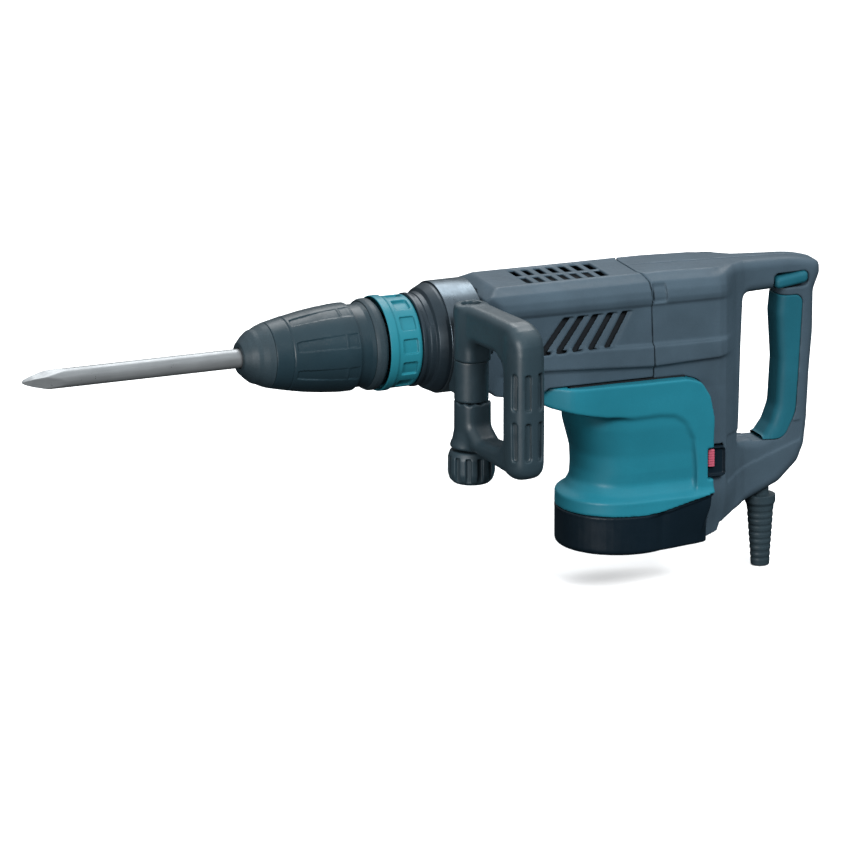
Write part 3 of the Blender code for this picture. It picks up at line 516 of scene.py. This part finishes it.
def louvres(x, y, z, body):
    """Five bays on each side that lean forwards and fan out, each with a through slot along its front."""
    side = np.abs(y)
    for i in range(5):
        top = -67.5 + 14.6 * i
        bottom = -92.0 + 16.2 * i
        centre = bottom + (top - bottom) * (z - LOUVRE_LOW) / (LOUVRE_HIGH - LOUVRE_LOW)
        lean = math.cos(math.atan2(abs(top - bottom), LOUVRE_HIGH - LOUVRE_LOW))
        across = (x - centre) * lean
        bay = both(np.abs(across) - 4.4, np.abs(z - 215.3) - 16.6, 1.2)
        depth = 43.6 - 0.28 * (4.4 - across)
        body = less(body, both(bay, depth - side), 0.3)
        slot = both(np.abs(across + 2.1) - 1.6, np.abs(z - 219.0) - 12.0, 1.0)
        body = less(body, both(slot, 34 - side), 0.3)
    return body


def top_vents(x, y, z, body):
    """Two rows of slots across the ridge, in a shallow panel."""
    panel = both(np.abs(x + 60) - 41.5, np.abs(y) - 25.5, 2.5)
    body = less(body, both(panel, 262.3 - 0.02 * (x + 60) - z), 0.4)
    for i in range(7):
        for centre in (-13.2, 13.2):
            slot = both(np.abs(x + 97 - 12.4 * i) - 3.0, np.abs(y - centre) - 10.4, 1.2)
            body = less(body, both(slot, 252 - z), 0.4)
    return body


def front_cover():
    """The cover over the crank gear: ridge, belt, louvres and top vents."""
    axes = grid((-151, -51.5, 153.5), (20, 51.5, 267), 1.25)
    x, y, z = axes
    section = Outline(RIDGE, 40)
    height = section_height(x, z)
    outer = section.at(np.abs(y), height)
    profile = Outline([(-149, 170, 5), (-149, 254, 2), (-133, 264.6, 3), (40, 280), (40, 165.4),
                       (-86.2, 165.4), (-97.4, 158.3), (-97.4, 156, 1), (-140, 163, 4)], 40).at(x, z)
    plan = Outline([(-149, -38, 3), (-130.5, -49.5, 6), (40, -60), (40, 60), (-130.5, 49.5, 6),
                    (-149, 38, 3)], 40).at(x, y)
    solid = both(both(outer, profile, 1.4), plan, 1.6)
    solid = both(solid, x - seam_x(y, z) + SEAM_GAP, 0.7)
    room = both(outer + WALL, both(plan + 3.5, profile + 3.5))
    room = both(room, -(x + 145))
    open_below = block(x, y, z, (-94, -42, 150), (40, 42, 200))
    body = less(solid, either(room, open_below))
    mouth = around(y, z)[0] - 41.6
    body = less(body, both(mouth, x + 120))
    body = top_vents(x, y, z, louvres(x, y, z, body))
    sculpted("gear_cover", body, axes, "dark_casing", "hammer_body", ["front_cover"])


# The motor housing's upper band from the side, as (x, z), down to its corner over the foot.
WING = [(-97, 151, 3), (-97, 160, 4), (-88, 165, 6), (47, 163.6, 12), (62, 159, 12), (71, 144, 14),
        (75, 124, 20), (75, 41.3)]


def foot_line(x):
    """Height of the line between the motor housing and the end cover, which rises to the rear."""
    return np.interp(x, (-60, 8, 22, 75), (37.2, 37.2, 38.8, 51.5)).astype(np.float32)


def motor_housing():
    """The teal shell: a waisted pot round the motor, with a band that joins it to the casing."""
    axes = grid((-99.5, -60, 35), (77, 60, 168), 1.3)
    x, y, z = axes
    draft = np.interp(z, (48, 60, 76, 92, 107, 119, 150), (1, 0.97, 0.89, 0.89, 0.92, 0.95, 0.97))
    pot_r = np.hypot(np.minimum(x, 0), y * draft.astype(np.float32))
    pot = Outline([(0, 162), (53.5, 162), (52.4, 150, 20), (50.8, 119, 20), (47.6, 107, 20), (43.6, 92, 20),
                   (42.9, 76, 16), (44.2, 64, 12), (49.5, 55.5, 9), (57.6, 50.5, 3), (58, 30), (0, 30)],
                  40).at(pot_r, z)
    wing = Outline([*WING[:-1], (75, 20), (57, 20), (57.6, 75, 40), (55.2, 106, 12), (47.5, 122.5, 14),
                    (36, 130.5, 14), (20, 132.3, 20), (-8, 131.8, 30), (-34, 134, 40), (-82, 144, 20)],
                   40).at(x, z)
    half = Outline([(-97, -24, 10), (-63, -55.6, 30), (76, -54.6), (76, 54.6), (-63, 55.6, 30),
                    (-97, 24, 10)], 40).at(x, y)
    band = both(wing, half, 2.2)
    body = either(pot, band, 5)
    cut = Outline([*WING[:-1], (75, -60), (-150, -60), (-150, 151)], 60).at(x, z)
    body = both(body, cut, 0.8)
    body = both(body, foot_line(x) + 0.3 - z, 0.7)
    bore = both(np.hypot(x, y) - 40.5, z - 142)
    deck = block(x, y, z, (-67, -45, 141.2), (50, 45, 175))
    wires = block(x, y, z, (47, -44, 54), (80, 44, 136))
    body = less(body, either(either(bore, deck), wires))
    body = less(body, block(x, y, z, (68.6, -70, 64.2), (90, -39.7, 93.8), 1.5), 0.5)
    sculpted("motor_shell", body, axes, "teal_casing", "hammer_body", ["motor_housing"])


def end_cover():
    """The dark foot under the motor, with screw bosses and air slots."""
    axes = grid((-60, -60, -1.8), (77, 60, 54), 1.15)
    x, y, z = axes
    circle = []                     # the round front of the plan
    for i in range(33):
        turn = math.radians(66 + 228 * i / 32)
        circle.append((58 * math.cos(turn), 58 * math.sin(turn)))
    wide = Outline([*circle, (30, -56), (74.7, -53.8), (74.7, 53.8), (30, 56)], 30).at(x, y)
    keel = Outline([*circle, (34, -51), (74.7, -41, 3), (74.7, 41, 3), (34, 51)], 30).at(x, y)
    share = ease(z, -6, 46)
    plan = keel * (1 - share) + wide * share
    solid = both(plan, -z, 5.5)
    solid = both(solid, z - foot_line(x), 1.0)
    depth = 1.3 - np.interp(x, (0, 20), (1.3, 0)).astype(np.float32)
    lip = both(z - foot_line(x) + 3.4, -depth - plan)
    solid = less(solid, lip, 0.5)
    body = less(solid, both(plan + 3, 3 - z))
    boss = both(np.hypot(x, y) - 15, both(z - 30, 1 - z))
    body = either(body, boss, 1.5)
    body = less(body, both(np.hypot(x, y) - 11.3, 22 - z))
    for place_x, place_y in ((-34, -36), (-34, 36), (60, -36), (60, 36)):
        r = np.hypot(x - place_x, y - place_y)
        body = either(body, both(both(r - 6.5, plan + 0.5), both(z - 38, 1 - z)), 1.0)
        body = less(body, either(r - 2.3, both(r - 4.5, z - 8.3)))
    for i in range(5):
        for start in (-40, 22):
            low = (start, -26 + 12 * i, -6)
            body = less(body, block(x, y, z, low, (start + 18, low[1] + 5, 9), 2.2), 0.6)
    # The foot takes the darker look, which is partly painted shade.
    sculpted("motor_foot", body, axes, "darker_plastic_and_painted_shade", "hammer_body", ["motor_end_cover"])


# The rear housing, the opening of its D-handle and the soft insert from the side, as (x, z).
REAR_SIDE = [(-20, 150), (-20, 290), (100, 290), (180, 261, 16), (200.1, 249.6, 9), (200.3, 238.6, 8),
             (194, 223, 18), (193.4, 184, 60), (190, 146, 60), (187.4, 100, 40), (184.6, 76, 20),
             (178, 60, 14), (158, 41.5, 16), (120, 26.6, 10), (106, 22, 10), (90, 15.3, 2), (88.5, 7.4, 3),
             (75.3, 2, 1), (75.3, 124)]
REAR_OPENING = [(120.5, 227.6, 7), (157.5, 227.6, 3), (158.3, 224, 8), (156, 203, 30), (158.6, 158, 40),
                (156, 115, 30), (150, 99, 18), (142, 87.6, 6), (111.5, 87.6, 3), (113.6, 112, 30),
                (117, 180, 60)]
GRIP = [(120, 221.2), (180.5, 221.2, 8), (176, 150, 60), (173, 108, 30), (161, 84.8, 12), (120, 84.8)]


def teal_cut(x, z, clearance):
    """The motor housing's side, which the rear housing is cut back from."""
    side = [(-150, 0), (-150, 151), *WING[:-1], (75, 0)]
    return Outline(side, 60).at(x, z) - clearance


def rear_body(x, y, z):
    """The rear housing and its D-handle, before the soft insert is let in."""
    # The sides draw in towards the handle, and beside the foot.
    inset = np.interp(x, (84, 92, 108, 120, 152, 205), (0, 3.5, 19, 26.5, 29.5, 31)).astype(np.float32)
    height = section_height(x, z)
    wide = np.abs(y) + inset + 12 * (1 - ease(z, -2, 52)) * (1 - ease(x, 96, 118))
    ridged = Outline(RIDGE, 40).at(wide, height)
    plain = both(wide - 47.4, height - 264.4, 9)
    fade = ease(x, 80, 106)
    section = ridged * (1 - fade) + plain * fade
    soft = 1.0 + 9.5 * ease(x, 92, 128)
    side = Outline(REAR_SIDE, 40).at(x, z)
    hole = Outline(REAR_OPENING, 40).at(x, z)
    body = both(section, side, soft)
    return less(body, hole, 1.0 + 9.0 * ease(x, 100, 126))


def rear_housing():
    """The two halves of the rear housing, which differ only in the lamp's recess."""
    axes = grid((6, -51, -1.5), (203, 2.5, 269), 1.3)
    x, y, z = axes
    solid = rear_body(x, y, z)
    solid = less(solid, teal_cut(x, z, 0.35), 0.5)
    solid = both(solid, seam_x(y, z) + SEAM_GAP - x, 0.7)
    solid = both(solid, 75.3 - x - 100 * (z > 100))
    pocket = block(x, np.abs(y), z, (16.4, 41.5, 237.5), (30.5, 60, 255.5), 2)
    solid = less(solid, both(pocket, -(solid + 2.6)), 0.5)
    fold = both(0.32 * (x - 84) + 51.5 - z, both(z - 100, np.abs(x - 136) - 42), 3)
    solid = less(solid, both(fold, -(solid + 1.2)), 0.5)
    body = less(solid, both(solid + WALL, x - 106))
    insert = Outline(GRIP, 60).at(x, z) - 0.3
    body = less(body, both(insert, block(x, y, z, (130, -40, 60), (190, 40, 230))), 0.3)
    lever = block(x, y, z, (151, -60, 228.6), (186, 60, 243.4), 5)
    body = less(body, lever, 0.4)
    bore = np.hypot(x - GUARD_X, y)
    body = less(body, either(both(bore - 15, z - 29.5), both(bore - 8.6, z - 60)))
    plain = both(body, y + 0.15, 0.35)
    with_recess = less(plain, block(x, y, z, *LAMP_RECESS, 1.5), 0.4)
    sculpted("rear_shell_left", with_recess, axes, "dark_casing", "hammer_body", ["rear_housing_left"])
    points, faces = surface(plain, axes)
    piece("rear_shell_right", points * np.array((1, -1, 1)), faces[:, ::-1], "dark_casing", "hammer_body",
          ["rear_housing_right"])


def handle_grip():
    """The soft insert along the inside of the D-handle."""
    axes = grid((140, -23, 82), (186, 23, 224), 0.9)
    x, y, z = axes
    body = rear_body(x, y, z) - 0.2
    body = both(body, Outline(GRIP, 60).at(x, z), 0.8)
    body = less(body, both(np.abs(y) - 11.4, 169.8 - x))
    sculpted("soft_grip", body, axes, "teal_rubber", "hammer_body", ["handle_grip"])


def rear_fittings():
    """The switch rocker, and the lamp with its holder."""
    axes = grid((149, -23.5, 226), (188, 21, 246), 0.8)
    x, y, z = axes
    level = z - 0.13 * (x - 168)
    body = block(x, y, level, (152.3, -21.4, 230.4), (184.7, 18.4, 241.8), 4.6)
    sculpted("switch_rocker", body, axes, "teal_rubber", "switch_lever", ["switch_lever"])
    axes = grid((67, -53, 62), (91, -38, 96), 0.7)
    x, y, z = axes
    body = block(x, y, z, (69.3, -50.5, 64.7), (89, -40, 93.3), 3.5)
    body = less(body, block(x, y, z, (70.8, -60, 66.2), (87.5, -46.4, 91.8), 2.5), 1.0)
    sculpted("lamp_bezel", body, axes, "darker_plastic_and_painted_shade", "hammer_body", ["lamp_holder"])
    axes = grid((69, -51.5, 72), (80, -44.5, 94), 0.5)
    x, y, z = axes
    body = block(x, y, z, (70.9, -49.6, 74.3), (77.6, -46.7, 91.6), 1.3)
    body = body + 0.16 * np.cos(z * 2 * math.pi / 2.4)
    sculpted("lamp_lens", body, axes, "red_lens", "hammer_body", ["indicator_lens"])


def guard_ribs(along, radius, _angle):
    """Shallow ribs round the lower part of the cord guard."""
    rib = 0.45 * (np.cos(along * 2 * math.pi / 6.4) > 0.1) * (along < 17) * (along > -33) * (radius > 6)
    return radius - rib


def cord_guard():
    """The bend guard, which ends in an open bore."""
    outline = [(52, 4.6), (52, 12, 0.8), (47, 12, 0.6), (47, 8), (29, 8), (29, 14.3, 0.8), (22, 14.3, 2),
               (19, 12.8, 2), (-39, 8.7, 1.2), (-39, 4.6, 0.6)]
    lathed("bend_guard", outline, "black_rubber", "hammer_body", ["cord_guard"], axis="Z",
           centre=(GUARD_X, 0, 0), sides=48, step=0.8, shape=guard_ribs)


# Side handle

def handle_place(x, y):
    """Positions across and along the side handle, from its clamp bolt."""
    dx, dy = x - BOLT[0], y - BOLT[1]
    cosine, sine = math.cos(HANDLE_TURN), math.sin(HANDLE_TURN)
    return dx * cosine + dy * sine, -dx * sine + dy * cosine


def side_handle():
    """The D-shaped front handle: a tube over the clamp bolt, two arms and a fluted grip."""
    axes = grid((-204, -182.5, 113), (-138, -50, 268.5), 1.15)
    x, y, z = axes
    across, along = handle_place(x, y)
    bolt_r = np.hypot(across, along)
    grip_r = np.hypot(across, along - GRIP_ALONG)
    outer = Outline([(12, 246, 6), (12, 262, 8), (-14, 265.6, 22), (-107.9, 264.6, 26), (-107.9, 118.6, 15),
                     (-40, 124.5, 20), (-20, 127.3, 6), (6, 127.3), (6, 246)], 40).at(along, z)
    hole = Outline([(-17, 231.5, 9), (-60, 231, 10), (-74.2, 222, 16), (-73.8, 147, 16), (-60, 142.5, 10),
                    (-30, 141.5, 10), (-17, 151, 8)], 40).at(along, z)
    half = np.interp(along, (-110, -70, -40, 0), (14.2, 14.2, 13.5, 14.0)).astype(np.float32)
    body = both(less(outer, hole, 7), np.abs(across) - half, 8)
    swell = np.interp(z, (118, 135, 165, 200, 232, 262), (15.0, 16.2, 17.0, 17.0, 16.2, 14.0))
    swell = swell.astype(np.float32)
    grip = both(grip_r - swell, both(z - 258, 120 - z), 9)
    body = either(body, grip, 5)
    flare = np.interp(z, (127, 131, 136, 144, 262), (20.5, 19.5, 17.6, 16.1, 16.1)).astype(np.float32)
    shaft = both(bolt_r - flare, both(z - 263.4, 127.4 - z), 2.5)
    body = either(body, shaft, 4)
    gap = both(bolt_r - 21.5, both(z - 211.2, 171.8 - z))
    keep = both(along - 40, -along - 21.5)
    body = less(body, both(gap, keep))
    teeth = 1.6 * np.abs(((np.arctan2(across, along) * 10 / math.pi) % 2) - 1)
    body = less(body, both(bolt_r - 25, np.abs(z - 171.8) - teeth))
    for low, high in ((186, 221), (138, 175)):
        for turn in (-24, 18.5, 61):
            direction = math.radians(turn)
            side = across * math.cos(direction) - (along - GRIP_ALONG) * math.sin(direction)
            facing = -across * math.sin(direction) - (along - GRIP_ALONG) * math.cos(direction)
            flute = both(np.abs(side) - 2.9, np.abs(z - (low + high) / 2) - (high - low) / 2, 2.6)
            flute = both(flute, both(-facing, swell - 1.5 - grip_r))
            body = less(body, flute, 0.8)
    body = less(body, either(both(bolt_r - 9.4, 254 - z), bolt_r - 5.4))
    sculpted("front_handle", body, axes, "handle_casing", "side_handle", ["side_handle"])


def clamp_band():
    """The steel band round the barrel, and the moulded knuckle that the handle pivots on."""
    band = [(-187, 50.7), (-187, 52.2, 0.6), (-152, 52.2, 0.6), (-152, 50.7)]
    lathed("clamp_strap", band, "dark_steel", "handle_clamp", ["clamp_band"], sides=160)
    axes = grid((-195, -90, 168), (-157, -34, 215), 0.9)
    x, y, z = axes
    dx, dy = x - BOLT[0], y - BOLT[1]
    knuckle = both(np.hypot(dx, dy) - 16, both(z - 210.7, 172.3 - z), 0.8)
    lug = block(x, y, z, (BOLT[0] - 9, -71, 173), (BOLT[0] + 9, -38, 210), 2)
    body = either(knuckle, lug, 2)
    body = less(body, around(y, z)[0] - 52.3)
    body = less(body, np.hypot(dx, dy) - 5.5)
    sculpted("clamp_knuckle", body, axes, "handle_casing", "handle_clamp", ["clamp_band"])


def clamp_nut():
    """The knob under the side handle, with twelve flutes."""
    axes = grid((-200.5, -95, 92), (-152.5, -47, 127.5), 0.8)
    x, y, z = axes
    dx, dy = x - BOLT[0], y - BOLT[1]
    r, angle = np.hypot(dx, dy), np.arctan2(dy, dx)
    outline = [(5.4, 94, 0.5), (16.5, 94, 3), (20.4, 98, 4), (22, 104, 6), (21.8, 119, 5), (19.6, 125, 2),
               (5.4, 125, 0.5)]
    body = Outline(outline).at(r, z)
    across = off_spoke(angle, r, 12)
    flute = both(np.abs(across) - 2.5, both(18.6 - r, np.abs(z - 108.5) - 11.5), 0.9)
    body = less(body, flute, 0.8)
    sculpted("clamp_knob", body, axes, "handle_casing", "clamp_nut", ["clamp_nut"])


# Scene

def studio():
    """A pale floor, a sky that is light overhead and dark below, and three lamps."""
    mesh = bpy.data.meshes.new("studio_floor")
    count = 8
    points, faces = [], []
    for i in range(count + 1):
        for j in range(count + 1):
            points.append((FLOOR_HALF * (2 * i / count - 1), FLOOR_HALF * (2 * j / count - 1), FLOOR_Z))
    for i in range(count):
        for j in range(count):
            a = i * (count + 1) + j
            faces.append((a, a + count + 1, a + count + 2, a + 1))
    mesh.from_pydata(points, [], faces)
    mesh.materials.append(LOOKS["floor"])
    floor = bpy.data.objects.new("studio_floor", mesh)
    bpy.context.scene.collection.objects.link(floor)
    floor.visible_diffuse = floor.visible_glossy = False
    world = bpy.data.worlds.new("studio")
    world.use_nodes = True
    tree = world.node_tree
    background = tree.nodes["Background"]
    background.inputs["Strength"].default_value = 0.75
    place, parts = node(tree, "ShaderNodeTexCoord"), node(tree, "ShaderNodeSeparateXYZ")
    tree.links.new(place.outputs["Generated"], parts.inputs["Vector"])
    sky = ramp(tree, parts.outputs["Z"], 0.0, (0.03, 0.04, 0.046), 0.8, (0.9, 0.96, 1.0))
    tree.links.new(sky, background.inputs["Color"])
    bpy.context.scene.world = world
    target = Vector((-0.18, 0.0, 0.16))
    for name, kind, place, size, power in (("key", "SUN", (0.1, -2.2, 1.9), 25, 4.2),
                                           ("top", "AREA", (0.4, 1.2, 2.1), 1.8, 32),
                                           ("fill", "AREA", (-2.0, -1.3, 0.5), 1.2, 34)):
        lamp = bpy.data.lights.new(name, kind)
        lamp.energy = power
        if kind == "SUN":
            lamp.angle = math.radians(size)
        else:
            lamp.shape = "DISK"
            lamp.size = size
        made = bpy.data.objects.new(name, lamp)
        made.location = place
        made.visible_glossy = name != "key"
        made.rotation_euler = (target - Vector(place)).to_track_quat("-Z", "Y").to_euler()
        bpy.context.scene.collection.objects.link(made)


def photo_camera():
    """The camera at the photo's angle."""
    azimuth, elevation = math.radians(PHOTO_AZIMUTH), math.radians(PHOTO_ELEVATION)
    back = Vector((math.sin(azimuth) * math.cos(elevation), -math.cos(azimuth) * math.cos(elevation),
                   math.sin(elevation)))
    aim = Vector((-0.2255, -0.0819, 0.1538))
    data = bpy.data.cameras.new("photo_camera")
    data.lens = LENS
    data.sensor_width = SENSOR
    distance = PHOTO_WIDTH / (SENSOR / LENS)
    data.clip_start, data.clip_end = 0.1, 100
    camera = bpy.data.objects.new("photo_camera", data)
    camera.location = aim + back * distance
    camera.rotation_euler = (-back).to_track_quat("-Z", "Y").to_euler()
    bpy.context.scene.collection.objects.link(camera)
    bpy.context.scene.camera = camera


def repaint_frame():
    """Gives every CAD node that stays its slot's procedural look. The crankcase and bearing plate, raw
    aluminium behind the louvres, get a near-black look instead: painted shade.
    """
    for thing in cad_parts.values():
        slot = thing.data.materials[0].name.split(".")[0]
        # The crankcase and bearing plate get painted shade in place of their aluminium look.
        shaded_behind_louvres = thing.name in ("crankcase", "bearing_plate")
        thing.data.materials[0] = LOOKS["painted_shade_casting" if shaded_behind_louvres else slot]
        thing.data.shade_smooth()
        thing.data.set_sharp_from_angle(angle=math.radians(35))


def build():
    """The looks, the pieces drawn here and the studio, round the CAD nodes that stay."""
    bpy.context.scene.view_settings.view_transform = "Standard"
    make_looks()
    repaint_frame()
    chisel()
    nose_cap()
    release_cover()
    neck()
    change_ring()
    barrel()
    front_cover()
    motor_housing()
    end_cover()
    rear_housing()
    handle_grip()
    rear_fittings()
    cord_guard()
    side_handle()
    clamp_band()
    clamp_nut()
    studio()
    photo_camera()


build()
